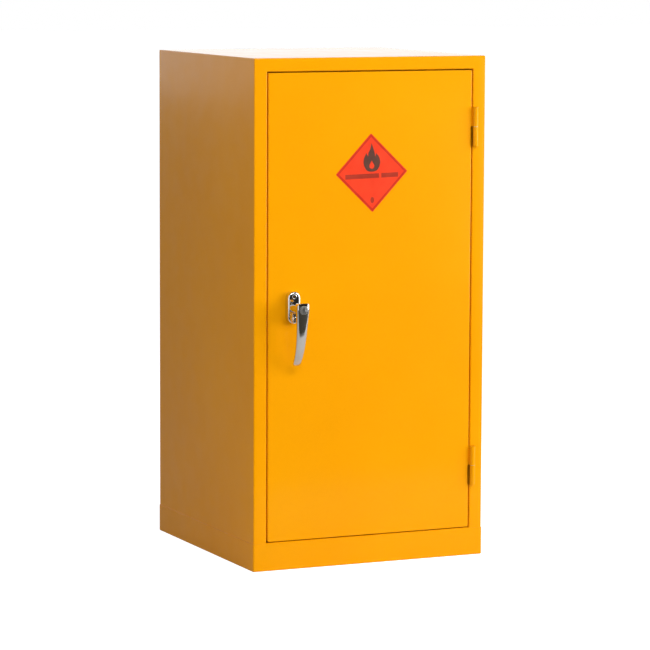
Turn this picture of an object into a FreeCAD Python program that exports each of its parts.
"""Single-door flammable storage cabinet: a welded sheet-steel carcass on a sump pan, with a lift-off-hinged
door, an L-handle with a key lock, a cam that throws two locking rods, and two removable shelf trays.

Row frame, in millimetres: the origin is the middle of the underside, +Z is up, the door faces -Y, and the
hinges are on the +X side. Places on the door are given as a depth behind its front face, which grows towards
the back of the cabinet; anything that stands proud of the door has a negative depth.
"""

import FreeCAD, Part
import math
import os

V = FreeCAD.Vector

# Overall sizes
WIDTH = 457.0
DEPTH = 457.0
HEIGHT = 915.0
SHEET = 1.0                      # sheet thickness of every folded panel
BEND = 2.0                       # outer radius of a fold
PLINTH_HEIGHT = 50.0
BODY_X = WIDTH / 2 - SHEET       # outer face of the side panels, inside the pan's walls
BODY_Y = DEPTH / 2 - SHEET
INNER_X = BODY_X - SHEET
PANEL_FOOT = 3.0                 # panels stand this far up, clear of the pan's inner bend
FACE = -BODY_Y                   # y of the stiles' and the door's front face

# Front frame
STILE = 25.0                     # width of each stile
HEADER = 24.0                    # height of the top rail
SILL_Z = 51.0
JAMB = 20.0                      # depth from the face to the front of the stop lip
LIP = 10.0                       # how far the stop lip reaches into the opening
RETURN = 15.0                    # rear and inner flanges
OPEN_X = BODY_X - STILE
OPEN_TOP = HEIGHT - HEADER

# Door
GAP = 2.0
DOOR_X = OPEN_X - GAP
DOOR_BOTTOM = SILL_Z + GAP
DOOR_TOP = OPEN_TOP - GAP
DOOR_THICK = 18.0
DOOR_LIP = 13.0
DOOR_CORNER = 3.0
STIFFENER_HALF = 30.0
STIFFENER_DEPTH = 15.0
STIFFENER_FOOT = 12.0
STIFFENER_END = 18.0             # clearance from the door's top and bottom edges

# Hinges
HINGE_X = OPEN_X + 4.0           # the barrel stands proud of the stile's edge
HINGE_DEPTH = -3.5
HINGE_Z = {"upper": 787.0, "lower": 167.0}
KNUCKLE = 35.0
KNUCKLE_R = 5.0
KNUCKLE_GAP = 0.3                # half the gap between knuckles, which a washer fills
PIN_R = 2.5
PIN_CLEAR = 0.06
LEAF = 2.0
LEAF_REACH = 22.0
STILE_NOTCH = 4.0                # depth of the cut in the stile's edge behind the barrel
DOOR_NOTCH = 2.0                 # how far the door's edge is cut back beside the frame's knuckle
DOOR_NOTCH_DEPTH = 9.0

# Handle and lock: axis position, then depths along it
HANDLE_X = -154.6
HANDLE_Z = 473.2
PLATE_W, PLATE_H, PLATE_D = 24.0, 58.0, 13.0
SCREW_PITCH = 40.0
JOURNAL_R = 8.0
REAR_JOURNAL_R = 7.0
NECK_R = 10.0
HEAD_W = 23.2                    # width of the lever's squared head
HEAD_TOP = 12.0
HEAD_CORNER = 6.5
HEAD_EDGE = 2.0
LEVER_LENGTH = 103.5
LEVER_FRONT = -54.0
LEVER_REAR = -40.0
LEVER_NARROWS = 8.4              # how much less wide the grip is at its tip than at the head
LEVER_THINS = 5.0
LEVER_BOW, LEVER_HOOK = 20.0, 10.0    # how far the grip leans in to the door, evenly and near its tip
TIP_FROM = 0.94                  # share of the length where the tip's rounding starts
LOCK_END = -32.0
TAIL_END = -9.6
BOLT_FRONT, BOLT_REAR = -9.0, -5.0
CRANK = 2.4                      # throw of the lock's crank pin and travel of its bolt
SPINDLE = 8.0
SPINDLE_FRONT, SPINDLE_END = -1.8, 25.8

# Cam and rods
BRACKET_PLATE = 20.0             # depth of the lock bracket's plate
CAM_FRONT, CAM_REAR = 23.0, 26.0
CAM_R = 36.0
FINGER_REACH = 47.0
FINGER_W = 14.0
ROD_THROW = 15.0
PIN_NEAR = 15.0                  # rod pin's distance from the axis with the rods drawn in
ROD_PIN_R = 3.0
SLOT_CLEAR = 0.15
ROD_R = 4.0
ROD_DEPTH = 28.0
ROD_FLAT = 3.0
ROD_TIP = {"upper": 875.0, "lower": 67.0}
GUIDE_Z = {"upper": 845.0, "lower": 97.0}

# Shelves
UPRIGHT_D = 12.0
UPRIGHT_W = 22.0
UPRIGHT_Y = {"front": -150.0, "rear": 175.0}
UPRIGHT_Z = (60.0, 895.0)
SLOT_FIRST, SLOT_PITCH, SLOT_COUNT = 80.0, 25.0, 32
SLOT_W, SLOT_H = 4.0, 12.0
SHELF_Z = {"upper": 600.0, "lower": 300.0}
SHELF_X = 213.0
SHELF_Y = (-178.0, 214.0)
SHELF_DEPTH = 25.0
SHELF_LIP = 8.0
CLIP = 1.5
CLIP_W = 14.0
CLIP_H = 40.0
CLIP_LEDGE = 16.0
HOOK_DROP = 4.0

# Label
LABEL_SIDE = 100.0
LABEL_T = 0.3
LABEL_X, LABEL_Z = 1.0, 708.4
LABEL_TILT = 1.5

EPS = 0.01


# Basic solids

def box(x0, x1, y0, y1, z0, z1):
    """A box between two corners."""
    return Part.makeBox(x1 - x0, y1 - y0, z1 - z0, V(x0, y0, z0))


def rod_y(x, z, y0, y1, radius):
    """A cylinder along Y."""
    return Part.makeCylinder(radius, y1 - y0, V(x, y0, z), V(0, 1, 0))


def rod_z(x, y, z0, z1, radius):
    """A cylinder along Z."""
    return Part.makeCylinder(radius, z1 - z0, V(x, y, z0), V(0, 0, 1))


def handle_rod(d0, d1, radius):
    """A cylinder on the handle's axis between two depths."""
    return rod_y(HANDLE_X, HANDLE_Z, FACE + d0, FACE + d1, radius)


def handle_box(x0, x1, d0, d1, z0, z1):
    """A box placed from the handle's axis and the door's face."""
    return box(HANDLE_X + x0, HANDLE_X + x1, FACE + d0, FACE + d1, HANDLE_Z + z0, HANDLE_Z + z1)


def turn(a, b, c):
    """Positive where the path a, b, c turns left."""
    return (b[0] - a[0]) * (c[1] - b[1]) - (b[1] - a[1]) * (c[0] - b[0])


def rounded_wire(points, radii, place):
    """A closed wire through 2-D points, each corner rounded to its radius; place maps 2-D to 3-D."""
    count = len(points)
    corners = []
    for i, (here, radius) in enumerate(zip(points, radii)):
        before, after = points[i - 1], points[(i + 1) % count]
        if radius < EPS:
            corners.append([here])
            continue
        to_before = V(before[0] - here[0], before[1] - here[1], 0).normalize()
        to_after = V(after[0] - here[0], after[1] - here[1], 0).normalize()
        half = to_before.getAngle(to_after) / 2
        reach = radius / math.tan(half)
        middle = (to_before + to_after).normalize() * (radius / math.sin(half) - radius)
        corners.append([
            (here[0] + to_before.x * reach, here[1] + to_before.y * reach),
            (here[0] + middle.x, here[1] + middle.y),
            (here[0] + to_after.x * reach, here[1] + to_after.y * reach),
        ])
    edges = []
    for i, corner in enumerate(corners):
        if len(corner) == 3:
            edges.append(Part.Arc(*[place(*p) for p in corner]).toShape())
        following = corners[(i + 1) % count]
        edges.append(Part.LineSegment(place(*corner[-1]), place(*following[0])).toShape())
    return Part.Wire(edges)


def folded(path, place, along, thickness=SHEET, bend=BEND):
    """A folded sheet: path is one face of it, with the metal on the left, swept by the vector along."""
    count = len(path)
    other = []
    path_radii, other_radii = [0.0] * count, [0.0] * count
    normals = []
    for a, b in zip(path, path[1:]):
        length = math.hypot(b[0] - a[0], b[1] - a[1])
        normals.append((-(b[1] - a[1]) / length, (b[0] - a[0]) / length))
    for i, (x, y) in enumerate(path):
        near = [normals[j] for j in (i - 1, i) if 0 <= j < len(normals)]
        square = len(near) == 2
        dx = sum(n[0] for n in near) if square else near[0][0]
        dy = sum(n[1] for n in near) if square else near[0][1]
        other.append((x + dx * thickness, y + dy * thickness))
        if square:
            left = turn(path[i - 1], path[i], path[i + 1]) > 0
            path_radii[i] = bend if left else bend - thickness
            other_radii[i] = bend - thickness if left else bend
    wire = rounded_wire(path + other[::-1], path_radii + other_radii[::-1], place)
    return Part.Face(wire).extrude(along)


def edges_where(shape, test):
    """The edges whose bounding box passes a test."""
    return [e for e in shape.Edges if test(e.BoundBox)]


def pan(size_x, size_y, depth, corner, lip):
    """A pressed pan centred on the Z axis, its closed face at z 0, with its rim turned in by lip."""
    def blank(inset, z0, z1, radius, bend):
        x, y = size_x / 2 - inset, size_y / 2 - inset
        solid = box(-x, x, -y, y, z0, z1)
        upright = edges_where(solid, lambda b: b.ZLength > depth / 2 and b.XLength + b.YLength < EPS)
        solid = solid.makeFillet(radius, upright)
        return solid.makeFillet(bend, edges_where(solid, lambda b: b.ZMax < z0 + EPS))

    rim = SHEET if lip else 0.0
    outer = blank(0.0, 0.0, depth, corner, BEND - EPS)
    inner = blank(SHEET, SHEET, depth - rim + (0 if lip else 1), corner - SHEET, BEND - SHEET - EPS)
    shell = outer.cut(inner)
    if lip:
        x, y = size_x / 2 - lip, size_y / 2 - lip
        shell = shell.cut(box(-x, x, -y, y, depth - rim - 1, depth + 1))
    return shell


def envelope():
    """The outside of the carcass above the pan, with its edges rounded like the folds."""
    solid = box(-BODY_X, BODY_X, -BODY_Y, BODY_Y, 0, HEIGHT)
    solid = solid.makeFillet(BEND, edges_where(solid, lambda b: b.ZLength > HEIGHT / 2))
    return solid.makeFillet(BEND - EPS, edges_where(solid, lambda b: b.ZMin > HEIGHT - EPS))


# Carcass

def base_pan():
    """Plinth and sump: one pan that the panels stand in, proud of them by its own thickness."""
    return pan(WIDTH, DEPTH, PLINTH_HEIGHT, BEND + SHEET, 0)


def side_panel():
    """The left side with its stile, jamb, stop lip and rear return; the jamb stops under the header."""
    path = [
        (-BODY_X + RETURN, BODY_Y),
        (-BODY_X, BODY_Y),
        (-BODY_X, FACE),
        (-OPEN_X, FACE),
        (-OPEN_X, FACE + JAMB),
        (-OPEN_X + LIP, FACE + JAMB),
    ]
    jambed = folded(path, lambda x, y: V(x, y, PANEL_FOOT), V(0, 0, OPEN_TOP - PANEL_FOOT))
    plain = folded(path[:4], lambda x, y: V(x, y, OPEN_TOP), V(0, 0, HEIGHT - OPEN_TOP))
    return jambed.fuse(plain).removeSplitter().common(envelope())


def stile_hinge_cut(z):
    """What a hinge takes out of the right stile: one notch behind both knuckles."""
    return box(OPEN_X - SHEET, HINGE_X + KNUCKLE_R + 0.5, FACE - 1, FACE + STILE_NOTCH,
               z - KNUCKLE - 0.5, z + KNUCKLE + 0.5)


def door_hinge_cut(z):
    """What a hinge takes out of the door's edge: a slot behind the face for the leaf, and a notch below it."""
    edge = DOOR_X - DOOR_NOTCH
    slot = box(edge, DOOR_X + 1, FACE + SHEET, FACE + SHEET + LEAF + 0.3, z, z + KNUCKLE + 0.5)
    notch = box(edge, DOOR_X + 1, FACE - 1, FACE + DOOR_NOTCH_DEPTH, z - KNUCKLE - 1, z)
    return slot.fuse(notch)


def right_side_panel():
    """The mirrored side panel, notched for the hinges."""
    panel = side_panel().mirror(V(0, 0, 0), V(1, 0, 0))
    for z in HINGE_Z.values():
        panel = panel.cut(stile_hinge_cut(z))
    return panel


def back_panel():
    """The back, lapped inside the side panels' returns, with a flange under the top panel."""
    y = BODY_Y - SHEET
    path = [(y, PANEL_FOOT), (y, HEIGHT - SHEET), (y - RETURN, HEIGHT - SHEET)]
    half = INNER_X - BEND
    return folded(path, lambda y, z: V(-half, y, z), V(2 * half, 0, 0))


def top_panel():
    """The top, folded at the front into the header, its jamb and stop lip, and down inside both sides, where
    its edges are welded and dressed flush."""
    rear = BODY_Y - SHEET
    header = [
        (rear, HEIGHT),
        (FACE, HEIGHT),
        (FACE, OPEN_TOP),
        (FACE + JAMB, OPEN_TOP),
        (FACE + JAMB, OPEN_TOP - LIP),
    ]
    lip_x = OPEN_X - LIP
    full = folded(header, lambda y, z: V(-OPEN_X, y, z), V(2 * OPEN_X, 0, 0))
    stile_lips = [
        box(min(s * lip_x, s * OPEN_X), max(s * lip_x, s * OPEN_X), FACE + JAMB - BEND, FACE + JAMB + BEND,
            OPEN_TOP - LIP - 1, OPEN_TOP + SHEET)
        for s in (-1, 1)
    ]
    full = full.cut(Part.makeCompound(stile_lips))
    roof_path = [
        (-INNER_X, HEIGHT - SHEET - RETURN),
        (-INNER_X, HEIGHT),
        (INNER_X, HEIGHT),
        (INNER_X, HEIGHT - SHEET - RETURN),
    ]
    front, back = FACE + BEND, BODY_Y - BEND
    roof = folded(roof_path[::-1], lambda x, z: V(x, front, z), V(0, back - front, 0), SHEET, 0)
    return full.fuse(roof).removeSplitter().common(envelope())


def front_sill():
    """The threshold: a flange behind the pan's front wall, the sill itself and its stop lip."""
    path = [
        (FACE, SILL_Z - HEADER),
        (FACE, SILL_Z),
        (FACE + JAMB, SILL_Z),
        (FACE + JAMB, SILL_Z + LIP),
    ]
    sill = folded(path[::-1], lambda y, z: V(-OPEN_X, y, z), V(2 * OPEN_X, 0, 0))
    lip_x = OPEN_X - LIP
    for s in (-1, 1):
        sill = sill.cut(box(min(s * lip_x, s * OPEN_X), max(s * lip_x, s * OPEN_X),
                            FACE + JAMB - BEND, FACE + JAMB + BEND, SILL_Z - BEND, SILL_Z + LIP + 1))
    return sill


def upright(side, y):
    """A slotted channel on a side panel; side is -1 on the left and 1 on the right."""
    path = [
        (-INNER_X, y - UPRIGHT_W / 2),
        (-INNER_X + UPRIGHT_D, y - UPRIGHT_W / 2),
        (-INNER_X + UPRIGHT_D, y + UPRIGHT_W / 2),
        (-INNER_X, y + UPRIGHT_W / 2),
    ]
    low, high = UPRIGHT_Z
    channel = folded(path, lambda x, py: V(x, py, low), V(0, 0, high - low))
    web = -INNER_X + UPRIGHT_D
    slots = [
        box(web - 2 * SHEET, web + SHEET, y - SLOT_W / 2, y + SLOT_W / 2, z - SLOT_H / 2, z + SLOT_H / 2)
        for z in (SLOT_FIRST + SLOT_PITCH * i for i in range(SLOT_COUNT))
    ]
    channel = channel.cut(Part.makeCompound(slots))
    return channel if side < 0 else channel.mirror(V(0, 0, 0), V(1, 0, 0))


def shelf_clip(side, y, shelf_z):
    """A bent clip: a plate on the upright, a ledge under the shelf, and two hooks through the slots."""
    web = -INNER_X + UPRIGHT_D
    half = CLIP_W / 2
    path = [
        (web, shelf_z - CLIP_H),
        (web, shelf_z),
        (web + CLIP_LEDGE, shelf_z),
    ]
    clip = folded(path[::-1], lambda x, z: V(x, y - half, z), V(0, CLIP_W, 0), CLIP, CLIP + 1)
    hook_half = SLOT_W / 2 - 0.5
    below = [SLOT_FIRST + SLOT_PITCH * i for i in range(SLOT_COUNT)
             if shelf_z - CLIP_H < SLOT_FIRST + SLOT_PITCH * i < shelf_z - SLOT_H / 2]
    for z in below:
        foot = z - SLOT_H / 2 + EPS
        arm = box(web - SHEET - CLIP - 0.3, web + CLIP / 2, y - hook_half, y + hook_half, foot, foot + SLOT_H / 2)
        tip = box(web - SHEET - CLIP - 0.3, web - SHEET - 0.3, y - hook_half, y + hook_half,
                  foot - HOOK_DROP, foot + EPS)
        clip = clip.fuse(arm).fuse(tip)
    clip = clip.removeSplitter()
    return clip if side < 0 else clip.mirror(V(0, 0, 0), V(1, 0, 0))


def shelf_clips(shelf_z):
    """The four clips of one shelf, as separate solids."""
    return Part.makeCompound([
        shelf_clip(side, y, shelf_z) for side in (-1, 1) for y in UPRIGHT_Y.values()
    ])


def shelf(z):
    """A shelf tray with its rim turned in, so that it holds a spill."""
    low, high = SHELF_Y
    tray = pan(2 * SHELF_X, high - low, SHELF_DEPTH, BEND + SHEET, SHELF_LIP)
    tray.translate(V(0, (low + high) / 2, z))
    return tray


def door_buffers():
    """Two rubber pads on the latch side's stop lip, which the door closes on."""
    x = -OPEN_X + LIP / 2
    return Part.makeCompound([
        rod_y(x, z, FACE + DOOR_THICK + 0.1, FACE + JAMB, 4.0) for z in (190.0, 760.0)
    ])


# Hinges

def hinge_leaf(z0, z1, side, bore):
    """A knuckle, a neck that runs back from its side, and a flat leaf behind the sheet's face; side is -1 for
    the door's and 1 for the frame's."""
    axis_y = FACE + HINGE_DEPTH
    behind = FACE + SHEET
    outer = HINGE_X + side * KNUCKLE_R
    knuckle = rod_z(HINGE_X, axis_y, z0, z1, KNUCKLE_R)
    neck = box(*sorted((outer, outer - side * LEAF)), axis_y, behind + LEAF, z0, z1)
    reach = sorted((outer - side * LEAF, HINGE_X + side * LEAF_REACH))
    reach[1] = min(reach[1], INNER_X - SHEET)
    leaf = box(*reach, behind, behind + LEAF, z0, z1)
    return knuckle.multiFuse([neck, leaf]).cut(rod_z(HINGE_X, axis_y, z0 - 1, z1 + 1, bore)).removeSplitter()


def door_leaf(z):
    return hinge_leaf(z + KNUCKLE_GAP, z + KNUCKLE, -1, PIN_R + PIN_CLEAR)


def frame_leaf(z):
    return hinge_leaf(z - KNUCKLE, z - KNUCKLE_GAP, 1, PIN_R)


def hinge_pin(z):
    """A pin pressed into the frame's knuckle, with domed ends."""
    half = KNUCKLE - 1.0
    pin = rod_z(HINGE_X, FACE + HINGE_DEPTH, z - half, z + half, PIN_R)
    return pin.makeFillet(1.0, edges_where(pin, lambda b: b.ZLength < EPS))


def hinge_washer(z):
    half = KNUCKLE_GAP - 0.05
    y = FACE + HINGE_DEPTH
    ring = rod_z(HINGE_X, y, z - half, z + half, KNUCKLE_R - 0.8)
    return ring.cut(rod_z(HINGE_X, y, z - 1, z + 1, PIN_R + PIN_CLEAR))


# Door

def door_outline():
    """A block as large as the door, with its four corners rounded."""
    block = box(-DOOR_X, DOOR_X, FACE, FACE + DOOR_THICK, DOOR_BOTTOM, DOOR_TOP)
    across = edges_where(block, lambda b: b.YLength > DOOR_THICK / 2)
    return block.makeFillet(DOOR_CORNER, across)


def door_skin():
    """The door's sheet, folded back and in along both sides, with its hinge cuts and the handle's holes."""
    back = FACE + DOOR_THICK
    path = [
        (-DOOR_X + DOOR_LIP, back),
        (-DOOR_X, back),
        (-DOOR_X, FACE),
        (DOOR_X, FACE),
        (DOOR_X, back),
        (DOOR_X - DOOR_LIP, back),
    ]
    skin = folded(path, lambda x, y: V(x, y, DOOR_BOTTOM), V(0, 0, DOOR_TOP - DOOR_BOTTOM))
    skin = skin.common(door_outline())
    for z in HINGE_Z.values():
        skin = skin.cut(door_hinge_cut(z))
    skin = skin.cut(handle_rod(-1, 2 * SHEET, REAR_JOURNAL_R + 0.5))
    for s in (-1, 1):
        skin = skin.cut(rod_y(HANDLE_X, HANDLE_Z + s * SCREW_PITCH / 2, FACE - 1, FACE + 2, 2.75))
    return skin


def door_channel(z, inward):
    """The channel that closes one end of the door, welded inside the skin's folds; inward is -1 at the top."""
    low, high = FACE + SHEET, FACE + DOOR_THICK - SHEET
    path = [(low, z + inward * DOOR_LIP), (low, z), (high, z), (high, z + inward * DOOR_LIP)]
    if inward < 0:
        path = path[::-1]
    half = DOOR_X - BEND
    return folded(path, lambda y, pz: V(-half, y, pz), V(2 * half, 0, 0)).common(door_outline())


def hat(half, foot, depth, thickness, x, z0, z1):
    """A top-hat section on the inside of the door skin."""
    low, high = FACE + SHEET, FACE + SHEET + depth
    path = [
        (x + half + foot, low),
        (x + half, low),
        (x + half, high),
        (x - half, high),
        (x - half, low),
        (x - half - foot, low),
    ]
    return folded(path[::-1], lambda px, py: V(px, py, z0), V(0, 0, z1 - z0), thickness, BEND)


def door_stiffener():
    return hat(STIFFENER_HALF, STIFFENER_FOOT, STIFFENER_DEPTH - SHEET, SHEET, 0.0,
               DOOR_BOTTOM + STIFFENER_END, DOOR_TOP - STIFFENER_END)


def lock_bracket():
    """A hat bracket that carries the spindle's rear bush, in front of the cam."""
    thick = 1.5
    bracket = hat(30.0, 11.0, BRACKET_PLATE - SHEET, thick, HANDLE_X, HANDLE_Z - 45.0, HANDLE_Z + 45.0)
    return bracket.cut(handle_rod(BRACKET_PLATE - 3, BRACKET_PLATE + 3, 7.55))


def spindle_bush():
    """A flanged nylon bush for the square spindle, which also spaces the cam off the bracket."""
    body = handle_rod(BRACKET_PLATE - 2, BRACKET_PLATE + 1.5 + EPS, 7.5)
    flange = handle_rod(BRACKET_PLATE + 1.5 + EPS, CAM_FRONT - 0.2, 10.0)
    return body.fuse(flange).cut(handle_rod(0, CAM_REAR, 5.8)).removeSplitter()


def guide_bracket(z, away):
    """An L bracket on the door skin that stands out to hold a rod's guide bush."""
    low = FACE + SHEET
    path = [(low, z - 18 * away), (low, z), (FACE + ROD_DEPTH + 9, z)]
    if away < 0:
        path = path[::-1]
    bracket = folded(path[::-1], lambda y, pz: V(HANDLE_X - 12, y, pz), V(24, 0, 0), 2.0, 3.0)
    return bracket.cut(rod_z(HANDLE_X, FACE + ROD_DEPTH, z - 5, z + 5, 6.05))


def guide_bush(z, away):
    """A flanged nylon bush for a locking rod."""
    y = FACE + ROD_DEPTH
    ends = sorted((z - 5.0 * away, z + 1.5 * away))
    rim = sorted((z, z + 1.5 * away))
    solid = rod_z(HANDLE_X, y, *ends, 6.0).fuse(rod_z(HANDLE_X, y, *rim, 8.0))
    return solid.cut(rod_z(HANDLE_X, y, z - 10, z + 10, ROD_R + 0.1)).removeSplitter()


def label():
    """A square sticker, stood on its corner and a little crooked."""
    half = LABEL_SIDE / 2
    sticker = box(-half, half, -LABEL_T, 0, -half, half)
    sticker = sticker.makeFillet(2.0, edges_where(sticker, lambda b: b.YLength > LABEL_T / 2))
    sticker.rotate(V(0, 0, 0), V(0, 1, 0), 45 - LABEL_TILT)
    sticker.translate(V(LABEL_X, FACE, LABEL_Z))
    return sticker


# Handle

def capsule(width, height, d0, d1):
    """An upright slot shape on the handle's axis."""
    half, reach = width / 2, (height - width) / 2
    middle = handle_box(-half, half, d0, d1, -reach, reach)
    for s in (-1, 1):
        middle = middle.fuse(rod_y(HANDLE_X, HANDLE_Z + s * reach, FACE + d0, FACE + d1, half))
    return middle.removeSplitter()


def escutcheon():
    """The cast plate under the handle: lever seat, two lock pockets a quarter turn apart, two screw holes."""
    plate = capsule(PLATE_W, PLATE_H, -PLATE_D, 0)
    front = FACE - PLATE_D
    plate = plate.makeFillet(3.5, edges_where(plate, lambda b: b.YMax < front + EPS))
    plate = plate.cut(handle_rod(-PLATE_D - 1, -2.0, JOURNAL_R + 0.1))
    plate = plate.cut(handle_rod(-3, 1, REAR_JOURNAL_R + 0.1))
    reach = JOURNAL_R + CRANK + 0.6
    plate = plate.cut(handle_box(-2.3, 2.3, BOLT_FRONT - 0.3, BOLT_REAR + 0.3, -reach, 0))
    plate = plate.cut(handle_box(0, reach, BOLT_FRONT - 0.3, BOLT_REAR + 0.3, -2.3, 2.3))
    for s in (-1, 1):
        z = HANDLE_Z + s * SCREW_PITCH / 2
        plate = plate.cut(rod_y(HANDLE_X, z, FACE - PLATE_D - 1, FACE + 1, 2.75))
        plate = plate.cut(rod_y(HANDLE_X, z, FACE - PLATE_D - 1, FACE - PLATE_D + 2.4, 4.8))
    return plate


def escutcheon_screw(s, angle):
    """A raised-head slotted screw."""
    z = HANDLE_Z + s * SCREW_PITCH / 2
    seat = FACE - PLATE_D + 2.4
    head = rod_y(HANDLE_X, z, seat - 3.0, seat, 4.6)
    head = head.makeFillet(1.4, edges_where(head, lambda b: b.YMax < seat - 3.0 + EPS))
    slot = box(-6, 6, seat - 4, seat - 1.8, -0.7, 0.7)
    slot.rotate(V(0, 0, 0), V(0, 1, 0), angle)
    slot.translate(V(HANDLE_X, 0, z))
    shank = rod_y(HANDLE_X, z, seat, FACE + 8, 2.5)
    return head.cut(slot).fuse(shank).removeSplitter()


def escutcheon_nut(s):
    """A square nut behind the skin."""
    z = s * SCREW_PITCH / 2
    nut = handle_box(-4.5, 4.5, SHEET, SHEET + 4, z - 4.5, z + 4.5)
    return nut.cut(rod_y(HANDLE_X, HANDLE_Z + z, FACE, FACE + 10, 2.52))


def lever_section(s):
    """The lever's outline at a share s of its length below the axis: a rounded oblong, squarer at the head."""
    width = HEAD_W - LEVER_NARROWS * s ** 0.9
    front = LEVER_FRONT + LEVER_BOW * s ** 1.8 + LEVER_HOOK * s ** 6
    thick = LEVER_REAR - LEVER_FRONT - LEVER_THINS * s
    if s > TIP_FROM:
        roundness = 2.4
        shrink = (1 - ((s - TIP_FROM) / (1 - TIP_FROM)) ** roundness) ** (1 / roundness)
        width *= shrink
        middle = front + thick / 2
        thick *= 0.35 + 0.65 * shrink
        front = middle - thick / 2
    squareness = 2.4 + 2.6 * math.exp(-7 * s)
    power = 2 / squareness
    points = []
    count = 24
    for i in range(count):
        a = 2 * math.pi * i / count
        c, n = math.cos(a), math.sin(a)
        x = math.copysign(abs(c) ** power, c) * width / 2
        d = math.copysign(abs(n) ** power, n) * thick / 2
        points.append(V(HANDLE_X + x, FACE + front + thick / 2 + d, HANDLE_Z - s * LEVER_LENGTH))
    curve = Part.BSplineCurve()
    curve.interpolate(Points=points, PeriodicFlag=True)
    return Part.Wire(curve.toShape())


def lever_head():
    """The section at the axis carried up to the top of the head, with its top edges rounded."""
    half = HEAD_W / 2
    block = Part.Face(lever_section(0.0)).extrude(V(0, 0, HEAD_TOP))
    across = handle_box(-half - 0.05, half + 0.05, LEVER_FRONT - 1, LEVER_REAR + 1, -1, HEAD_TOP)
    along = handle_box(-half - 1, half + 1, LEVER_FRONT, LEVER_REAR, -1, HEAD_TOP)
    top = HANDLE_Z + HEAD_TOP - EPS
    across = across.makeFillet(HEAD_CORNER, edges_where(across, lambda b: b.ZMin > top and b.XLength < EPS))
    along = along.makeFillet(HEAD_EDGE, edges_where(along, lambda b: b.ZMin > top and b.YLength < EPS))
    return block.common(across).common(along)


def lever():
    """The cast lever: a head bored for the lock, a bowed grip, and a neck with two journals and a square socket."""
    stations = [0.0, 0.1, 0.22, 0.36, 0.5, 0.64, 0.77, 0.87, TIP_FROM, 0.965, 0.982, 0.993, 0.999]
    grip = Part.makeLoft([lever_section(s) for s in stations], True, False)
    neck = handle_rod(LEVER_REAR - 5, -PLATE_D - 0.2, NECK_R)
    journal = handle_rod(-PLATE_D - 0.2, -2.2, JOURNAL_R)
    rear = handle_rod(-2.2, 5.0, REAR_JOURNAL_R)
    solid = grip.multiFuse([lever_head(), neck, journal, rear])
    solid = solid.cut(handle_rod(LEVER_FRONT - 1, LOCK_END, 7.0))
    solid = solid.cut(handle_rod(LEVER_FRONT - 1, LEVER_FRONT + 1.4, 8.0))
    solid = solid.cut(handle_rod(LOCK_END - 1, BOLT_FRONT + EPS, 4.7))
    solid = solid.cut(handle_box(-2.2, 4.6, BOLT_FRONT - 0.2, BOLT_REAR + 0.2, -5.4, 3.0))
    solid = solid.cut(handle_box(-2.2, 2.2, BOLT_FRONT - 0.2, BOLT_REAR + 0.2, -JOURNAL_R - 1, 0))
    socket = SPINDLE / 2 + 0.05
    solid = solid.cut(handle_box(-socket, socket, SPINDLE_FRONT - 0.2, 6, -socket, socket))
    groove = handle_rod(1.1, 2.3, REAR_JOURNAL_R + 1).cut(handle_rod(0, 3, 6.2))
    return solid.cut(groove).removeSplitter()


def retaining_ring():
    """A circlip in the rear journal's groove, behind the door skin."""
    ring = handle_rod(1.2, 2.2, 9.5).cut(handle_rod(0, 3, 6.3))
    ring = ring.cut(handle_box(-1.5, 1.5, 0, 3, 0, 12))
    for s in (-1, 1):
        ring = ring.cut(rod_y(HANDLE_X + s * 3.2, HANDLE_Z + 7.6, FACE, FACE + 4, 0.6))
    return ring


def spindle():
    """The square bar from the lever to the cam, drilled at its end for the cam screw."""
    half = SPINDLE / 2
    bar = handle_box(-half, half, SPINDLE_FRONT, SPINDLE_END, -half, half)
    bar = bar.makeFillet(0.6, edges_where(bar, lambda b: b.YLength > SPINDLE))
    return bar.cut(handle_rod(SPINDLE_END - 12, SPINDLE_END + 1, 2.5))


def lock_cylinder():
    """The lock's sleeve, pressed into the lever's head, with a thin face flange."""
    body = handle_rod(LEVER_FRONT + 1.4, LOCK_END, 7.0)
    flange = handle_rod(LEVER_FRONT - 0.6, LEVER_FRONT + 1.4, 7.95)
    flange = flange.makeFillet(0.5, edges_where(flange, lambda b: b.YMax < FACE + LEVER_FRONT))
    sleeve = body.fuse(flange)
    return sleeve.cut(handle_rod(LEVER_FRONT - 2, LOCK_END + 1, 5.55)).removeSplitter()


def lock_plug():
    """The turning plug: keyway, long tail through the neck, and a crank pin for the bolt."""
    plug = handle_rod(LEVER_FRONT - 0.4, LOCK_END, 5.5)
    plug = plug.makeFillet(0.4, edges_where(plug, lambda b: b.YMax < FACE + LEVER_FRONT))
    plug = plug.cut(handle_box(-1.0, 1.0, LEVER_FRONT - 2, LEVER_FRONT + 16, -4.2, 3.6))
    plug = plug.cut(handle_box(-1.0, 1.7, LEVER_FRONT - 2, LEVER_FRONT + 16, -0.8, 0.9))
    tail = handle_rod(LOCK_END, TAIL_END, 4.4)
    pin = rod_y(HANDLE_X + CRANK, HANDLE_Z, FACE + TAIL_END, FACE + BOLT_REAR - 0.3, 1.0)
    return plug.multiFuse([tail, pin]).removeSplitter()


def lock_bolt():
    """The bolt that the plug's crank pushes down out of the lever's journal into the escutcheon's pocket."""
    head = handle_box(-2.0, 4.4, BOLT_FRONT, BOLT_REAR, -2.8, 2.8)
    stem = handle_box(-2.0, 2.0, BOLT_FRONT, BOLT_REAR, -JOURNAL_R + 0.5, -2.8 + EPS)
    slot = handle_box(-1.2, 3.6, BOLT_FRONT - 1, BOLT_REAR + 1, -1.65, 1.65)
    return head.fuse(stem).cut(slot).removeSplitter()


# Cam and rods

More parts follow.
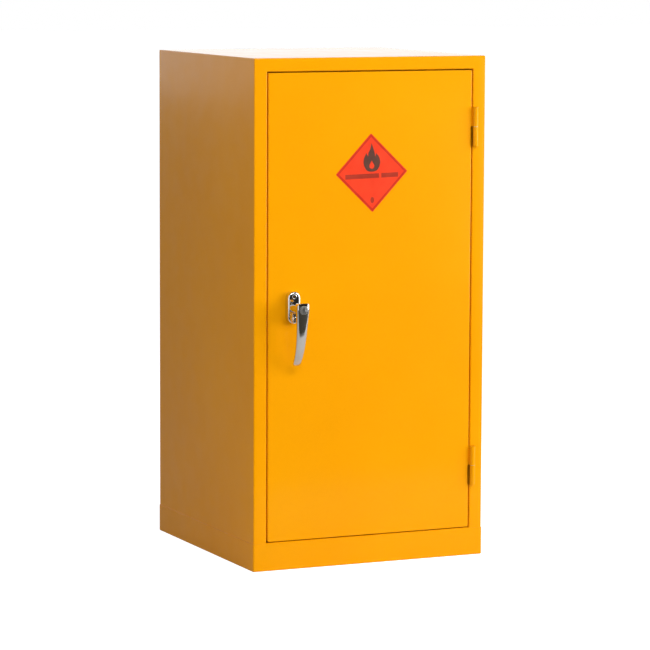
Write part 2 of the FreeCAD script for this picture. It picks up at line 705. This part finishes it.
def cam_slot():
    """A slot along a spiral whose radius grows evenly with the angle, so the rods move evenly with the lever."""
    growth = ROD_THROW / (math.pi / 2)
    half = ROD_PIN_R + SLOT_CLEAR
    margin = 0.04
    steps = 9

    def at(angle, side):
        radius = PIN_NEAR + growth * angle
        along = V(growth * math.sin(angle) + radius * math.cos(angle), 0,
                  growth * math.cos(angle) - radius * math.sin(angle)).normalize()
        centre = V(radius * math.sin(angle), 0, radius * math.cos(angle))
        return centre + V(-along.z, 0, along.x) * (half * side), centre, along

    angles = [-margin + (math.pi / 2 + 2 * margin) * i / (steps - 1) for i in range(steps)]
    sides = []
    for side in (1, -1):
        curve = Part.BSplineCurve()
        curve.interpolate([at(a, side)[0] for a in angles])
        sides.append(curve.toShape())
    ends = []
    for a, sign in ((angles[0], -1), (angles[-1], 1)):
        _, centre, along = at(a, 1)
        ends.append(Part.Arc(at(a, 1)[0], centre + along * (half * sign), at(a, -1)[0]).toShape())
    wire = Part.Wire([sides[0], ends[1], sides[1].reversed(), ends[0]])
    slot = Part.Face(wire).extrude(V(0, 20, 0))
    slot.translate(V(HANDLE_X, FACE + CAM_FRONT - 10, HANDLE_Z))
    return slot


def cam_plate():
    """The disc on the spindle: two spiral slots for the rod pins, and a finger that turns behind the stile's lip."""
    disc = handle_rod(CAM_FRONT, CAM_REAR, CAM_R)
    half = FINGER_W / 2
    finger = handle_box(-half, half, CAM_FRONT, CAM_REAR, 0, FINGER_REACH - half)
    tip = rod_y(HANDLE_X, HANDLE_Z + FINGER_REACH - half, FACE + CAM_FRONT, FACE + CAM_REAR, half)
    plate = disc.multiFuse([finger, tip]).removeSplitter()
    slot = cam_slot()
    other = slot.copy()
    other.rotate(V(HANDLE_X, 0, HANDLE_Z), V(0, 1, 0), 180)
    socket = SPINDLE / 2 + 0.05
    square = handle_box(-socket, socket, CAM_FRONT - 1, CAM_REAR + 1, -socket, socket)
    return plate.cut(slot).cut(other).cut(square)


def cam_washer():
    return handle_rod(CAM_REAR, CAM_REAR + 1.2, 7.0).cut(handle_rod(CAM_REAR - 1, CAM_REAR + 2, 2.7))


def cam_screw():
    """A hexagon screw that holds the cam on the spindle."""
    top = CAM_REAR + 1.2
    across = 8.0 / math.sqrt(3)
    corners = [V(HANDLE_X + across * math.cos(math.radians(60 * i)), FACE + top,
                 HANDLE_Z + across * math.sin(math.radians(60 * i))) for i in range(6)]
    head = Part.Face(Part.makePolygon(corners + corners[:1])).extrude(V(0, 3.5, 0))
    head = head.common(Part.makeSphere(6.4, V(HANDLE_X, FACE + top - 1.2, HANDLE_Z)))
    return head.fuse(handle_rod(SPINDLE_END - 10, top, 2.45)).removeSplitter()


def locking_rod(name):
    """A round rod with a flattened inner end; up is 1 for the upper rod and -1 for the lower."""
    up = 1 if name == "upper" else -1
    y = FACE + ROD_DEPTH
    tip = ROD_TIP[name]
    inner = HANDLE_Z + up * (FINGER_REACH + 3)
    rod = rod_z(HANDLE_X, y, *sorted((inner, tip)), ROD_R)
    rod = rod.makeFillet(1.5, edges_where(rod, lambda b: b.ZLength < EPS and abs(b.ZMin - tip) < EPS))
    flat_half = 6.0
    near = HANDLE_Z + up * PIN_NEAR
    plate = box(HANDLE_X - flat_half, HANDLE_X + flat_half, y - ROD_FLAT / 2, y + ROD_FLAT / 2,
                *sorted((near, inner + up * 10)))
    eye = rod_y(HANDLE_X, near, y - ROD_FLAT / 2, y + ROD_FLAT / 2, flat_half)
    solid = rod.multiFuse([plate, eye]).removeSplitter()
    return solid.cut(rod_y(HANDLE_X, near, y - 5, y + 5, ROD_PIN_R))


def rod_pin(name):
    """The riveted pin on a rod's inner end, which runs in the cam's slot."""
    up = 1 if name == "upper" else -1
    z = HANDLE_Z + up * PIN_NEAR
    back = ROD_DEPTH + ROD_FLAT / 2
    pin = rod_y(HANDLE_X, z, FACE + CAM_FRONT + 0.1, FACE + back, ROD_PIN_R)
    head = rod_y(HANDLE_X, z, FACE + back, FACE + back + 1.6, 4.5)
    head = head.makeFillet(1.0, edges_where(head, lambda b: b.YMin > FACE + back + 1))
    return pin.fuse(head).removeSplitter()


def parts():
    """Every node's name with its shape."""
    made = {
        "base_pan": base_pan(),
        "left_side_panel": side_panel(),
        "right_side_panel": right_side_panel(),
        "back_panel": back_panel(),
        "top_panel": top_panel(),
        "front_sill": front_sill(),
        "door_buffers": door_buffers(),
        "door_skin": door_skin(),
        "door_top_channel": door_channel(DOOR_TOP, -1),
        "door_bottom_channel": door_channel(DOOR_BOTTOM, 1),
        "door_stiffener": door_stiffener(),
        "hazard_label": label(),
        "lock_bracket": lock_bracket(),
        "spindle_bush": spindle_bush(),
        "handle_escutcheon": escutcheon(),
        "escutcheon_screws": Part.makeCompound([escutcheon_screw(1, 35), escutcheon_screw(-1, 90)]),
        "escutcheon_nuts": Part.makeCompound([escutcheon_nut(s) for s in (-1, 1)]),
        "handle_lever": lever(),
        "retaining_ring": retaining_ring(),
        "spindle": spindle(),
        "lock_cylinder": lock_cylinder(),
        "lock_plug": lock_plug(),
        "lock_bolt": lock_bolt(),
        "cam_plate": cam_plate(),
        "cam_washer": cam_washer(),
        "cam_screw": cam_screw(),
    }
    for side, sign in (("left", -1), ("right", 1)):
        for end, y in UPRIGHT_Y.items():
            made[f"{end}_{side}_upright"] = upright(sign, y)
    for level, z in SHELF_Z.items():
        made[f"{level}_shelf"] = shelf(z)
        made[f"{level}_shelf_clips"] = shelf_clips(z)
    for level, z in HINGE_Z.items():
        made[f"{level}_hinge_door_leaf"] = door_leaf(z)
        made[f"{level}_hinge_frame_leaf"] = frame_leaf(z)
        made[f"{level}_hinge_pin"] = hinge_pin(z)
        made[f"{level}_hinge_washer"] = hinge_washer(z)
    for level, away in (("upper", 1), ("lower", -1)):
        made[f"{level}_guide_bracket"] = guide_bracket(GUIDE_Z[level], away)
        made[f"{level}_guide_bush"] = guide_bush(GUIDE_Z[level], away)
        made[f"{level}_locking_rod"] = locking_rod(level)
        made[f"{level}_rod_pin"] = rod_pin(level)
    return made


os.makedirs("parts", exist_ok=True)
for node, shape in parts().items():
    shape.exportStep(f"parts/{node}.step")
    print(node, len(shape.Solids), shape.isValid(), round(shape.Volume, 1))
